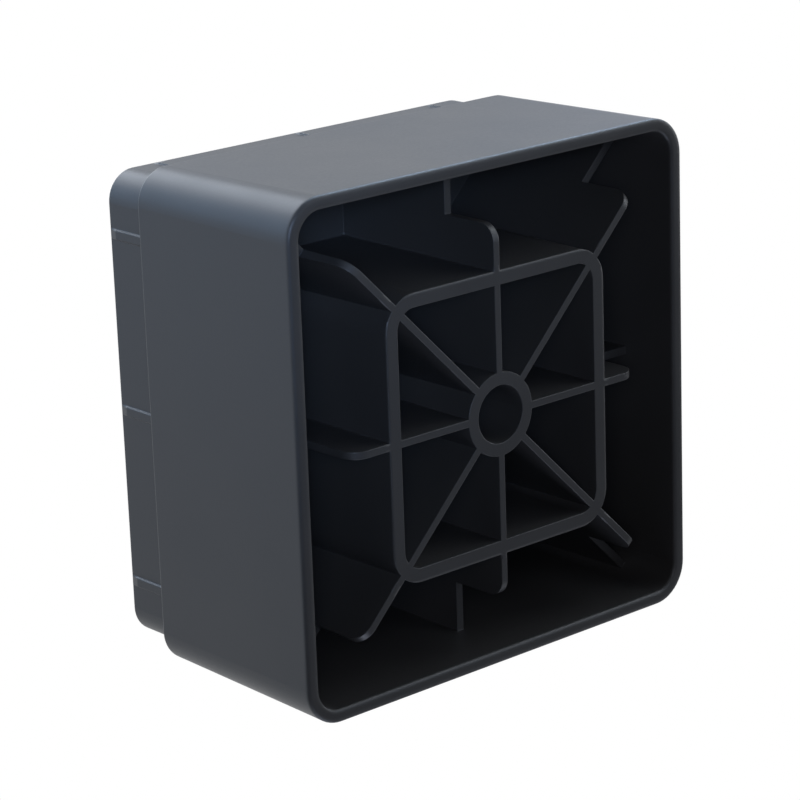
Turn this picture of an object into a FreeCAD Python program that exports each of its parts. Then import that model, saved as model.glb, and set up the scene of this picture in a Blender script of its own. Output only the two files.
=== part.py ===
"""Stackable bed riser: one injection moulding with a drafted square wall, a ribbed deck and a stacking spigot.

The rim stands on the floor at z = 0 and the tray that takes the furniture leg opens upwards. Millimetres.
"""
import FreeCAD
import Part
import math
import os

# Outer body
RIM_WIDTH = 160.0
LIFT = 72.0                # floor to the shoulder that carries the next riser
CORNER_RADIUS = 12.4       # at the rim
WALL = 4.0
WALL_DRAFT = 1.1           # degrees, the wall leans inwards towards the shoulder
DECK = 4.0                 # floor of the tray

# Stacking spigot, with the tray inside it
SPIGOT_HEIGHT = 19.5
SPIGOT_WALL = 3.6
SPIGOT_DRAFT = 0.3         # degrees
SPIGOT_CORNER_RADIUS = 9.5
STACK_CLEARANCE = 0.5      # between the centring ribs and the rim of a riser stacked on top

# Centring ribs on the outside of the spigot
CENTRING_RIBS_PER_SIDE = 3
CENTRING_RIB_PITCH = 56.0
CENTRING_RIB_WIDTH = 3.4   # at the root
CENTRING_RIB_CREST = 2.6
CENTRING_RIB_HEIGHT = 0.6
CENTRING_RIB_LEAD = 3.0    # length that slopes away at the spigot's end

# Stiffening under the deck, flush with the rim
BOSS_RADIUS = 13.2
BOSS_BORE_RADIUS = 9.2
FRAME_WIDTH = 89.6
FRAME_WALL = 4.4
FRAME_CORNER_RADIUS = 11.0
RIB_THICKNESS = 2.3        # at the rim plane
RIB_DRAFT = 0.5            # degrees a side, thicker towards the deck
RIB_END_GAP = 16.9         # from the rim's inside to the full-depth end of a rib
RIB_END_CORNER = 3.5       # corner radius of the square on which all rib ends lie
RIB_END_RADIUS = 5.6
RIB_STEP_CLEARANCE = 1.5   # from the lowered outer part of a rib to the spigot of a riser below

# Rounded edges
RIM_EDGE = 0.6
SHOULDER_EDGE = 1.0
SPIGOT_EDGE = 0.5
TRAY_EDGE = 0.6
TRAY_FILLET = 1.5
DECK_FILLET = 1.5

# Places that follow from the sizes above
RIM_HALF = RIM_WIDTH / 2
INNER_HALF = RIM_HALF - WALL
DECK_UNDERSIDE = LIFT - DECK
DECK_MIDDLE = LIFT - DECK / 2
TOP = LIFT + SPIGOT_HEIGHT
SPIGOT_HALF = INNER_HALF - STACK_CLEARANCE - CENTRING_RIB_HEIGHT
TRAY_HALF = SPIGOT_HALF - SPIGOT_WALL
RIB_STEP = SPIGOT_HEIGHT + RIB_STEP_CLEARANCE
CROSS_RIB_REACH = INNER_HALF - RIB_END_GAP
DIAGONAL_RIB_REACH = (CROSS_RIB_REACH - RIB_END_CORNER) * math.sqrt(2) + RIB_END_CORNER

ORIGIN = FreeCAD.Vector(0, 0, 0)
UP = FreeCAD.Vector(0, 0, 1)


def lean(degrees, height):
    """Sideways move of a drafted face over a height."""
    return math.tan(math.radians(degrees)) * height


def rounded_square(half, radius, z):
    """Closed wire of a square with round corners, at height z."""
    flat = half - radius
    middle = flat + radius * math.sqrt(0.5)
    edges = []
    for quarter in range(4):
        turn = FreeCAD.Rotation(UP, 90 * quarter)
        corner = [(half, -flat), (half, flat), (middle, middle), (flat, half)]
        start, side_end, arc_middle, arc_end = [turn.multVec(FreeCAD.Vector(x, y, z)) for x, y in corner]
        edges.append(Part.LineSegment(start, side_end).toShape())
        edges.append(Part.Arc(side_end, arc_middle, arc_end).toShape())
    return Part.Wire(edges)


def drafted_block(half, radius, draft, z_low, z_high):
    """Rounded square block whose sides lean inwards on the way up, or outwards for a negative draft."""
    inwards = lean(draft, z_high - z_low)
    low = rounded_square(half, radius, z_low)
    high = rounded_square(half - inwards, radius - inwards, z_high)
    return Part.makeLoft([low, high], True, True)


def round_level(shape, z, radius, reach=None):
    """Rounds the edges that lie at height z, all of them or those within reach of the axis."""
    edges = []
    for edge in shape.Edges:
        box = edge.BoundBox
        level = abs(box.ZMin - z) < 1e-4 and abs(box.ZMax - z) < 1e-4
        outermost = max(abs(box.XMin), abs(box.XMax), abs(box.YMin), abs(box.YMax))
        if level and (reach is None or outermost < reach):
            edges.append(edge)
    return shape.makeFillet(radius, edges)


def side_wall_and_deck():
    """The drafted body, hollow from below."""
    body = drafted_block(RIM_HALF, CORNER_RADIUS, WALL_DRAFT, 0, LIFT)
    body = round_level(body, 0, RIM_EDGE)
    body = round_level(body, LIFT, SHOULDER_EDGE)
    cavity = drafted_block(INNER_HALF, CORNER_RADIUS - WALL, WALL_DRAFT, 0, DECK_UNDERSIDE)
    cavity = round_level(cavity, DECK_UNDERSIDE, DECK_FILLET)
    shell = body.cut(cavity)
    return round_level(shell, 0, RIM_EDGE, reach=RIM_HALF - WALL / 2)


def spigot():
    """The ring on the shoulder: it locates the riser above, and its inside is the tray's wall."""
    block = drafted_block(SPIGOT_HALF, SPIGOT_CORNER_RADIUS, SPIGOT_DRAFT, DECK_MIDDLE, TOP)
    return round_level(block, TOP, SPIGOT_EDGE)


def tray():
    """The space for the furniture leg, wider at its mouth."""
    radius = SPIGOT_CORNER_RADIUS - SPIGOT_WALL
    space = drafted_block(TRAY_HALF, radius, -SPIGOT_DRAFT, LIFT, TOP)
    return round_level(space, LIFT, TRAY_FILLET)


def centring_rib_section(z, height):
    """Outline across a centring rib at height z on the +X side, with its root sunk in the spigot wall."""
    face = SPIGOT_HALF - lean(SPIGOT_DRAFT, z - DECK_MIDDLE)
    root = face - SPIGOT_WALL / 2
    outline = [
        (root, -CENTRING_RIB_WIDTH / 2),
        (face, -CENTRING_RIB_WIDTH / 2),
        (face + height, -CENTRING_RIB_CREST / 2),
        (face + height, CENTRING_RIB_CREST / 2),
        (face, CENTRING_RIB_WIDTH / 2),
        (root, CENTRING_RIB_WIDTH / 2),
    ]
    points = [FreeCAD.Vector(x, y, z) for x, y in outline]
    return Part.makePolygon(points + points[:1])


def centring_ribs():
    """Low ribs on each side of the spigot, sloping to nothing at its end."""
    lead_end = TOP - SPIGOT_EDGE
    sections = [
        centring_rib_section(DECK_MIDDLE, CENTRING_RIB_HEIGHT),
        centring_rib_section(lead_end - CENTRING_RIB_LEAD, CENTRING_RIB_HEIGHT),
        centring_rib_section(lead_end, 0),
    ]
    rib = Part.makeLoft(sections, True, True)
    ribs = []
    for side in range(4):
        for place in range(CENTRING_RIBS_PER_SIDE):
            along = (place - (CENTRING_RIBS_PER_SIDE - 1) / 2) * CENTRING_RIB_PITCH
            copy = rib.translated(FreeCAD.Vector(0, along, 0))
            ribs.append(copy.rotated(ORIGIN, UP, 90 * side))
    return ribs


def stiffening_frame():
    """Square frame with round corners, thicker towards the deck."""
    half = FRAME_WIDTH / 2
    outside = drafted_block(half, FRAME_CORNER_RADIUS, -RIB_DRAFT, 0, DECK_MIDDLE)
    inside = drafted_block(half - FRAME_WALL, FRAME_CORNER_RADIUS - FRAME_WALL, RIB_DRAFT, 0, DECK_MIDDLE)
    return outside.cut(inside)


def boss():
    """Round boss at the centre, before its bore."""
    return Part.makeCone(BOSS_RADIUS, BOSS_RADIUS + lean(RIB_DRAFT, DECK_MIDDLE), DECK_MIDDLE)


def boss_bore():
    """Blind bore of the boss, up to the deck."""
    return Part.makeCone(BOSS_BORE_RADIUS, BOSS_BORE_RADIUS - lean(RIB_DRAFT, DECK_UNDERSIDE), DECK_UNDERSIDE)


def rib_side(reach, far):
    """Side view of a rib through the centre: full depth out to reach, lowered from there to the wall."""
    bend = RIB_END_RADIUS * (1 - math.sqrt(0.5))

    def at(x, z):
        return FreeCAD.Vector(x, 0, z)

    edges = [Part.LineSegment(at(RIB_END_RADIUS - reach, 0), at(reach - RIB_END_RADIUS, 0)).toShape()]
    for way in (1, -1):
        start = at(way * (reach - RIB_END_RADIUS), 0)
        middle = at(way * (reach - bend), bend)
        end = at(way * reach, RIB_END_RADIUS)
        edges.append(Part.Arc(start, middle, end).toShape())
        edges.append(Part.makePolygon([end, at(way * reach, RIB_STEP), at(way * far, RIB_STEP),
                                       at(way * far, DECK_MIDDLE)]))
    edges.append(Part.LineSegment(at(far, DECK_MIDDLE), at(-far, DECK_MIDDLE)).toShape())
    loose = [edge for part in edges for edge in part.Edges]
    return Part.Face(Part.Wire(Part.__sortEdges__(loose)))


def rib(angle, reach):
    """One rib through the centre, drafted on both sides."""
    far = RIM_WIDTH
    thin = RIB_THICKNESS / 2
    thick = thin + lean(RIB_DRAFT, DECK_MIDDLE)
    corners = [(-thin, 0), (thin, 0), (thick, DECK_MIDDLE), (-thick, DECK_MIDDLE)]
    points = [FreeCAD.Vector(-far, y, z) for y, z in corners]
    web = Part.Face(Part.makePolygon(points + points[:1])).extrude(FreeCAD.Vector(2 * far, 0, 0))
    side = rib_side(reach, far).extrude(FreeCAD.Vector(0, 2 * thick, 0)).translated(FreeCAD.Vector(0, -thick, 0))
    return web.common(side).rotated(ORIGIN, UP, angle)


def stiffening():
    """Frame, boss and eight radial ribs, rooted in the deck and the side wall."""
    within = drafted_block(RIM_HALF - WALL / 2, CORNER_RADIUS - WALL / 2, WALL_DRAFT, 0, DECK_MIDDLE)
    ribs = [rib(0, CROSS_RIB_REACH), rib(90, CROSS_RIB_REACH), rib(45, DIAGONAL_RIB_REACH), rib(135, DIAGONAL_RIB_REACH)]
    ribs = [one.common(within) for one in ribs]
    return stiffening_frame().fuse([boss()] + ribs).cut(boss_bore())


def riser_body():
    """The whole moulding."""
    body = side_wall_and_deck().fuse([spigot(), stiffening()] + centring_ribs())
    body = body.cut(tray()).removeSplitter()
    return round_level(body, TOP, TRAY_EDGE, reach=TRAY_HALF + SPIGOT_WALL / 2)


if __name__ == "__main__":
    os.makedirs("parts", exist_ok=True)
    moulding = riser_body()
    moulding.exportStep("parts/riser_body.step")
    print("solids", len(moulding.Solids), "valid", moulding.isValid(), "volume mm3", round(moulding.Volume))
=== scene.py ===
"""Anthracite bed riser, seen from below into its open ribbed end, in soft studio light on a white ground."""

import bmesh
import bpy
import math
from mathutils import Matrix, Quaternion, Vector


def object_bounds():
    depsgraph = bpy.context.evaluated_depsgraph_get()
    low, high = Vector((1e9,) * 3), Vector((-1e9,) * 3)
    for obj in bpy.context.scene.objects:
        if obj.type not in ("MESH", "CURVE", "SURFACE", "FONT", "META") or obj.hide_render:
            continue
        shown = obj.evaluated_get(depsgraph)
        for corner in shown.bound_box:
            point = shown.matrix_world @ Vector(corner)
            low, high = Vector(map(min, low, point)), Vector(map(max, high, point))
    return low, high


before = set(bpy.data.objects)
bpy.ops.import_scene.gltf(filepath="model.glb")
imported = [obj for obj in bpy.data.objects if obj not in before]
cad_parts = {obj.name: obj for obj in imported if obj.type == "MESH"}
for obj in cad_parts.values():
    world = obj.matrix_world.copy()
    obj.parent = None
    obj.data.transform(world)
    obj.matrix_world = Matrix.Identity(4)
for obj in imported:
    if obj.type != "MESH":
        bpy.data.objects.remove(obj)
cad_low, cad_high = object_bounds()

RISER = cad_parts["riser_body"]
MIDDLE = (cad_low + cad_high) / 2

# Camera: it looks up from below the floor, turned so that the front wall is uppermost in the picture
CAMERA_AZIMUTH = -65.39      # degrees
CAMERA_ELEVATION = -46.10
CAMERA_ROLL = -73.78
CAMERA_DISTANCE = 0.9686     # metres from the point that it aims at
CAMERA_LENS = 138.7          # mm on the sensor below
CAMERA_SENSOR = 36.0
AIM_OFFSET = Vector((-0.0003, 0.0047, 0.0))     # metres from the riser's middle to that point

# Softboxes: direction from the riser's middle, metres away, width and height in metres, watts, colour
SOFTBOXES = {
    "front_softbox": ((0.55, -0.83, 0.10), 1.0, 0.6, 0.24, 8.9, "#D1EAFF"),
    "right_softbox": ((0.83, -0.48, 0.28), 1.0, 0.6, 0.6, 2.0, "#CBDAFF"),
    "top_softbox": ((0.0, -0.55, 0.83), 1.0, 0.6, 0.6, 6.4, "#F1F7FF"),
    "left_softbox": ((-0.5, -0.31, 0.81), 1.0, 0.6, 0.6, 2.4, "#B4DBFF"),
    "back_softbox": ((0.0, 0.94, -0.34), 1.0, 0.5, 0.5, 2.8, "#F5F5FF"),
    "low_right_fill": ((0.5, -0.31, -0.81), 1.0, 0.6, 0.6, 2.0, "#FFFFFF"),
    "rim_fill": ((0.66, -0.66, -0.34), 1.0, 0.5, 0.5, 2.9, "#FFFEF7"),
    "right_rim_fill": ((0.97, -0.12, -0.20), 1.0, 0.4, 0.4, 1.4, "#FFFFFF"),
    "low_rim_fill": ((0.63, 0.68, -0.37), 1.0, 0.4, 0.4, 0.4, "#FFFFFF"),
    "lens_fill": ((-0.63, -0.29, -0.72), 1.3, 0.4, 0.4, 3.1, "#FFF4EB"),
}

# A cool spotlight beside the lens, aimed at the upper left of the open end
CAVITY_SPOT = ((-0.63, -0.29, -0.72), 1.0)          # direction from the riser's middle, metres away
CAVITY_SPOT_AIM = Vector((-0.085, -0.075, 0.03))    # metres, in the riser's frame
CAVITY_SPOT_CONE = 13.0                             # degrees
CAVITY_SPOT_FADE = 1.0                              # share of the cone over which it fades out
CAVITY_SPOT_SOFTNESS = 0.1                          # metres, radius of the lamp
CAVITY_SPOT_WATTS = 46.0
CAVITY_SPOT_COLOUR = "#C3DEFF"

# Surroundings: white to the camera, and in reflections white above the floor line and dim below it
WHITE_GROUND = "#FFFFFF"
GROUND_STRENGTH = 1.0
UNDERSIDE_STRENGTH = 0.1
HORIZON = (-0.3, 0.12)       # heights between which the reflections go from dim to white, as sines

# Ground
FLOOR_SIZE = 6.0             # metres across
FLOOR_DROP = 0.4             # mm below the rim, so that the sheet keeps clear of the rim's own plane
FLOOR_COLOUR = "#F4F4F2"
FLOOR_ROUGHNESS = 0.7
FLOOR_SHADE = 0.6            # share of the paper's own light beside the riser, the rest is plain white
FLOOR_FADE = (0.16, 0.55)    # metres from the middle: the paper begins to fade to white, and is all white

# Moulded skin of the riser
PLASTIC_DARK = "#28292C"
PLASTIC_LIGHT = "#2E2F32"
PLASTIC_IOR = 1.49
PLASTIC_SHEEN = "#DDEBFF"    # the skin's reflections are faintly blue
SKIN_SPECULAR = 0.43         # a little under the 0.5 of a polished skin
SKIN_ROUGHNESS = (0.40, 0.48)    # where it is glossiest and dullest
FLOW_SIZE = 42.0             # mm, slow clouds left by the flow of the melt
FLOW_NOISE = (3.0, 0.55)     # detail and roughness of the noise
GRAIN_SIZE = 0.9             # mm, the real spark-eroded grain, near 0.2 mm, is drawn coarser so that it shows
GRAIN_NOISE = (2.0, 0.6)     # detail and roughness of the noise
GRAIN_DEPTH = 0.012          # mm
GRAIN_WEIGHT = 0.6           # of the grain in the changes of gloss, where the flow has 1
GLOSS_RANGE = (0.5, 1.1)     # sums of the two where the skin is glossiest and dullest

# Rounded edges of the skin
EDGE_BREAK = 0.4             # mm, on all edges but the rim and the frame's outside
RIM_BREAK = 2.2              # mm, the rim is nearly a full round
RIM_DEPTH = 10.0             # mm, how far up from the floor the rim's radius counts
RIM_INSIDE = 70.0            # mm from the middle, the rim lies outside this
FRAME_BREAK = 1.3            # mm, on the outside of the stiffening frame
FRAME_EDGE = 45.2            # mm from the middle to the frame's outside
FRAME_EDGE_REACH = 1.3       # mm to either side of it where the frame's radius counts
EDGE_SAMPLES = 8


def linear(code):
    """Linear RGBA of an sRGB hex colour."""
    channels = [int(code[i:i + 2], 16) / 255 for i in (1, 3, 5)]
    return [c / 12.92 if c <= 0.04045 else ((c + 0.055) / 1.055) ** 2.4 for c in channels] + [1.0]


def metres(millimetres):
    """Millimetres as metres."""
    return millimetres / 1000


def per_metre(millimetres):
    """Texture scale of a pattern whose features are that many millimetres apart."""
    return 1000 / millimetres


def add(tree, kind, settings=None, sockets=None):
    """A new node, with its settings, and its sockets given as values or as the outputs that feed them."""
    node = tree.nodes.new(kind)
    for name, value in (settings or {}).items():
        setattr(node, name, value)
    for name, value in (sockets or {}).items():
        if isinstance(value, bpy.types.NodeSocket):
            tree.links.new(value, node.inputs[name])
        else:
            node.inputs[name].default_value = value
    return node


def new_material(name):
    """An empty node material."""
    material = bpy.data.materials.new(name)
    material.use_nodes = True
    material.node_tree.nodes.clear()
    return material, material.node_tree


def edge_radius(tree, place):
    """Radius of the moulded edges in metres: larger on the frame's outside and on the rim than elsewhere."""
    from_middle = add(tree, "ShaderNodeVectorMath", {"operation": "ABSOLUTE"}, {0: place}).outputs["Vector"]
    axes = add(tree, "ShaderNodeSeparateXYZ", None, {"Vector": from_middle}).outputs
    out = add(tree, "ShaderNodeMath", {"operation": "MAXIMUM"}, {0: axes["X"], 1: axes["Y"]}).outputs["Value"]
    on_frame = add(tree, "ShaderNodeMath", {"operation": "COMPARE"},
                   {0: out, 1: metres(FRAME_EDGE), 2: metres(FRAME_EDGE_REACH)}).outputs["Value"]
    far_out = add(tree, "ShaderNodeMath", {"operation": "GREATER_THAN"},
                  {0: out, 1: metres(RIM_INSIDE)}).outputs["Value"]
    low_down = add(tree, "ShaderNodeMath", {"operation": "LESS_THAN"},
                   {0: axes["Z"], 1: metres(RIM_DEPTH)}).outputs["Value"]
    on_rim = add(tree, "ShaderNodeMath", {"operation": "MULTIPLY"},
                 {0: far_out, 1: low_down}).outputs["Value"]
    off_rim = add(tree, "ShaderNodeMath", {"operation": "MULTIPLY_ADD"},
                  {0: on_frame, 1: metres(FRAME_BREAK - EDGE_BREAK), 2: metres(EDGE_BREAK)}).outputs["Value"]
    return add(tree, "ShaderNodeMath", {"operation": "MULTIPLY_ADD"},
               {0: on_rim, 1: metres(RIM_BREAK - EDGE_BREAK), 2: off_rim}).outputs["Value"]


def moulded_polypropylene():
    """Polypropylene, coloured through and injection moulded in a spark-eroded tool.

    The eye gets a dark neutral satin with a broad, faintly blue sheen, no sharp reflection, slow changes
    of gloss from the flow of the melt, and edges that are broken rather than sharp.
    """
    material, tree = new_material("anthracite_polypropylene")
    place = add(tree, "ShaderNodeTexCoord").outputs["Object"]
    flow = add(tree, "ShaderNodeTexNoise", None,
               {"Vector": place, "Scale": per_metre(FLOW_SIZE), "Detail": FLOW_NOISE[0],
                "Roughness": FLOW_NOISE[1]})
    grain = add(tree, "ShaderNodeTexNoise", None,
                {"Vector": place, "Scale": per_metre(GRAIN_SIZE), "Detail": GRAIN_NOISE[0],
                 "Roughness": GRAIN_NOISE[1]})
    shade = add(tree, "ShaderNodeMix", {"data_type": "RGBA"},
                {"Factor": flow.outputs["Fac"], "A": linear(PLASTIC_DARK), "B": linear(PLASTIC_LIGHT)})
    mottle = add(tree, "ShaderNodeMath", {"operation": "MULTIPLY_ADD"},
                 {0: grain.outputs["Fac"], 1: GRAIN_WEIGHT, 2: flow.outputs["Fac"]})
    gloss = add(tree, "ShaderNodeMapRange", None,
                {"Value": mottle.outputs["Value"], "From Min": GLOSS_RANGE[0], "From Max": GLOSS_RANGE[1],
                 "To Min": SKIN_ROUGHNESS[0], "To Max": SKIN_ROUGHNESS[1]})
    edges = add(tree, "ShaderNodeBevel", {"samples": EDGE_SAMPLES}, {"Radius": edge_radius(tree, place)})
    relief = add(tree, "ShaderNodeBump", None,
                 {"Strength": 1.0, "Distance": metres(GRAIN_DEPTH), "Height": grain.outputs["Fac"],
                  "Normal": edges.outputs["Normal"]})
    skin = add(tree, "ShaderNodeBsdfPrincipled", None,
               {"Base Color": shade.outputs["Result"], "Roughness": gloss.outputs["Result"],
                "IOR": PLASTIC_IOR, "Specular IOR Level": SKIN_SPECULAR,
                "Specular Tint": linear(PLASTIC_SHEEN), "Normal": relief.outputs["Normal"]})
    add(tree, "ShaderNodeOutputMaterial", None, {"Surface": skin.outputs["BSDF"]})
    return material


def pale_ground():
    """Matt white paper with the riser's shadow, fading to plain white. The camera sees it only from above."""
    material, tree = new_material("pale_paper")
    place = add(tree, "ShaderNodeTexCoord").outputs["Object"]
    reach = add(tree, "ShaderNodeVectorMath", {"operation": "LENGTH"}, {"Vector": place}).outputs["Value"]
    share = add(tree, "ShaderNodeMapRange", {"interpolation_type": "SMOOTHSTEP"},
                {"Value": reach, "From Min": FLOOR_FADE[0], "From Max": FLOOR_FADE[1],
                 "To Min": FLOOR_SHADE, "To Max": 0.0})
    to_camera = add(tree, "ShaderNodeLightPath").outputs["Is Camera Ray"]
    white = add(tree, "ShaderNodeEmission", None, {"Color": linear(WHITE_GROUND), "Strength": to_camera})
    paper = add(tree, "ShaderNodeBsdfPrincipled", None,
                {"Base Color": linear(FLOOR_COLOUR), "Roughness": FLOOR_ROUGHNESS})
    lit = add(tree, "ShaderNodeMixShader", None,
              {0: share.outputs["Result"], 1: white.outputs["Emission"], 2: paper.outputs["BSDF"]})
    clear = add(tree, "ShaderNodeBsdfTransparent")
    below = add(tree, "ShaderNodeNewGeometry").outputs["Backfacing"]
    seen = add(tree, "ShaderNodeMixShader", None,
               {0: below, 1: lit.outputs["Shader"], 2: clear.outputs["BSDF"]})
    add(tree, "ShaderNodeOutputMaterial", None, {"Surface": seen.outputs["Shader"]})
    return material


def floor():
    """A wide sheet under the rim. Only the camera sees it, so it keeps no light from the open end."""
    sheet = bmesh.new()
    bmesh.ops.create_grid(sheet, x_segments=1, y_segments=1, size=FLOOR_SIZE / 2)
    bmesh.ops.translate(sheet, verts=sheet.verts, vec=(0, 0, -metres(FLOOR_DROP)))
    mesh = bpy.data.meshes.new("floor")
    sheet.to_mesh(mesh)
    sheet.free()
    mesh.materials.append(pale_ground())
    ground = bpy.data.objects.new("floor", mesh)
    bpy.context.scene.collection.objects.link(ground)
    ground.visible_diffuse = False
    ground.visible_glossy = False
    ground.visible_shadow = False


def surroundings():
    """White to the camera, and in reflections white above the floor line and dim below it."""
    world = bpy.data.worlds.new("studio")
    bpy.context.scene.world = world
    world.use_nodes = True
    tree = world.node_tree
    tree.nodes.clear()
    path = add(tree, "ShaderNodeLightPath").outputs
    direction = add(tree, "ShaderNodeTexCoord").outputs["Generated"]
    height = add(tree, "ShaderNodeSeparateXYZ", None, {"Vector": direction}).outputs["Z"]
    above = add(tree, "ShaderNodeMapRange", {"interpolation_type": "SMOOTHSTEP"},
                {"Value": height, "From Min": HORIZON[0], "From Max": HORIZON[1],
                 "To Min": UNDERSIDE_STRENGTH, "To Max": GROUND_STRENGTH})
    reflected = add(tree, "ShaderNodeMath", {"operation": "MULTIPLY"},
                    {0: path["Is Glossy Ray"], 1: above.outputs["Result"]})
    strength = add(tree, "ShaderNodeMath", {"operation": "MAXIMUM"},
                   {0: path["Is Camera Ray"], 1: reflected.outputs["Value"]})
    white = add(tree, "ShaderNodeBackground", None,
                {"Color": linear(WHITE_GROUND), "Strength": strength.outputs["Value"]})
    add(tree, "ShaderNodeOutputWorld", None, {"Surface": white.outputs["Background"]})


def hang(lamp, place, target):
    """Puts a lamp at a place, facing a target, out of the camera's sight."""
    holder = bpy.data.objects.new(lamp.name, lamp)
    holder.location = place
    holder.rotation_mode = "QUATERNION"
    holder.rotation_quaternion = (target - place).to_track_quat("-Z", "Y")
    holder.visible_camera = False
    bpy.context.scene.collection.objects.link(holder)


def softbox(name, direction, distance, width, height, watts, colour):
    """A rectangular lamp that far from the riser's middle, facing it."""
    lamp = bpy.data.lights.new(name, "AREA")
    lamp.shape = "RECTANGLE"
    lamp.size = width
    lamp.size_y = height
    lamp.energy = watts
    lamp.color = linear(colour)[:3]
    hang(lamp, MIDDLE + Vector(direction).normalized() * distance, MIDDLE)


def cavity_spot():
    """The soft spotlight into the open end."""
    direction, distance = CAVITY_SPOT
    lamp = bpy.data.lights.new("cavity_spot", "SPOT")
    lamp.spot_size = math.radians(CAVITY_SPOT_CONE)
    lamp.spot_blend = CAVITY_SPOT_FADE
    lamp.shadow_soft_size = CAVITY_SPOT_SOFTNESS
    lamp.energy = CAVITY_SPOT_WATTS
    lamp.color = linear(CAVITY_SPOT_COLOUR)[:3]
    hang(lamp, MIDDLE + Vector(direction).normalized() * distance, CAVITY_SPOT_AIM)


def lighting():
    """Softboxes round the riser, and a spotlight into its open end."""
    for name, settings in SOFTBOXES.items():
        softbox(name, *settings)
    cavity_spot()


def camera():
    """The photograph's view."""
    azimuth, elevation = math.radians(CAMERA_AZIMUTH), math.radians(CAMERA_ELEVATION)
    back = Vector((math.sin(azimuth) * math.cos(elevation), -math.cos(azimuth) * math.cos(elevation),
                   math.sin(elevation)))
    lens = bpy.data.cameras.new("camera")
    lens.lens = CAMERA_LENS
    lens.sensor_width = CAMERA_SENSOR
    holder = bpy.data.objects.new("camera", lens)
    holder.location = MIDDLE + AIM_OFFSET + back * CAMERA_DISTANCE
    holder.rotation_mode = "QUATERNION"
    level = (-back).to_track_quat("-Z", "Y")
    holder.rotation_quaternion = level @ Quaternion((0, 0, 1), math.radians(CAMERA_ROLL))
    bpy.context.scene.collection.objects.link(holder)
    bpy.context.scene.camera = holder


RISER.data.materials.clear()
RISER.data.materials.append(moulded_polypropylene())
floor()
surroundings()
lighting()
camera()
bpy.context.scene.view_settings.view_transform = "Standard"
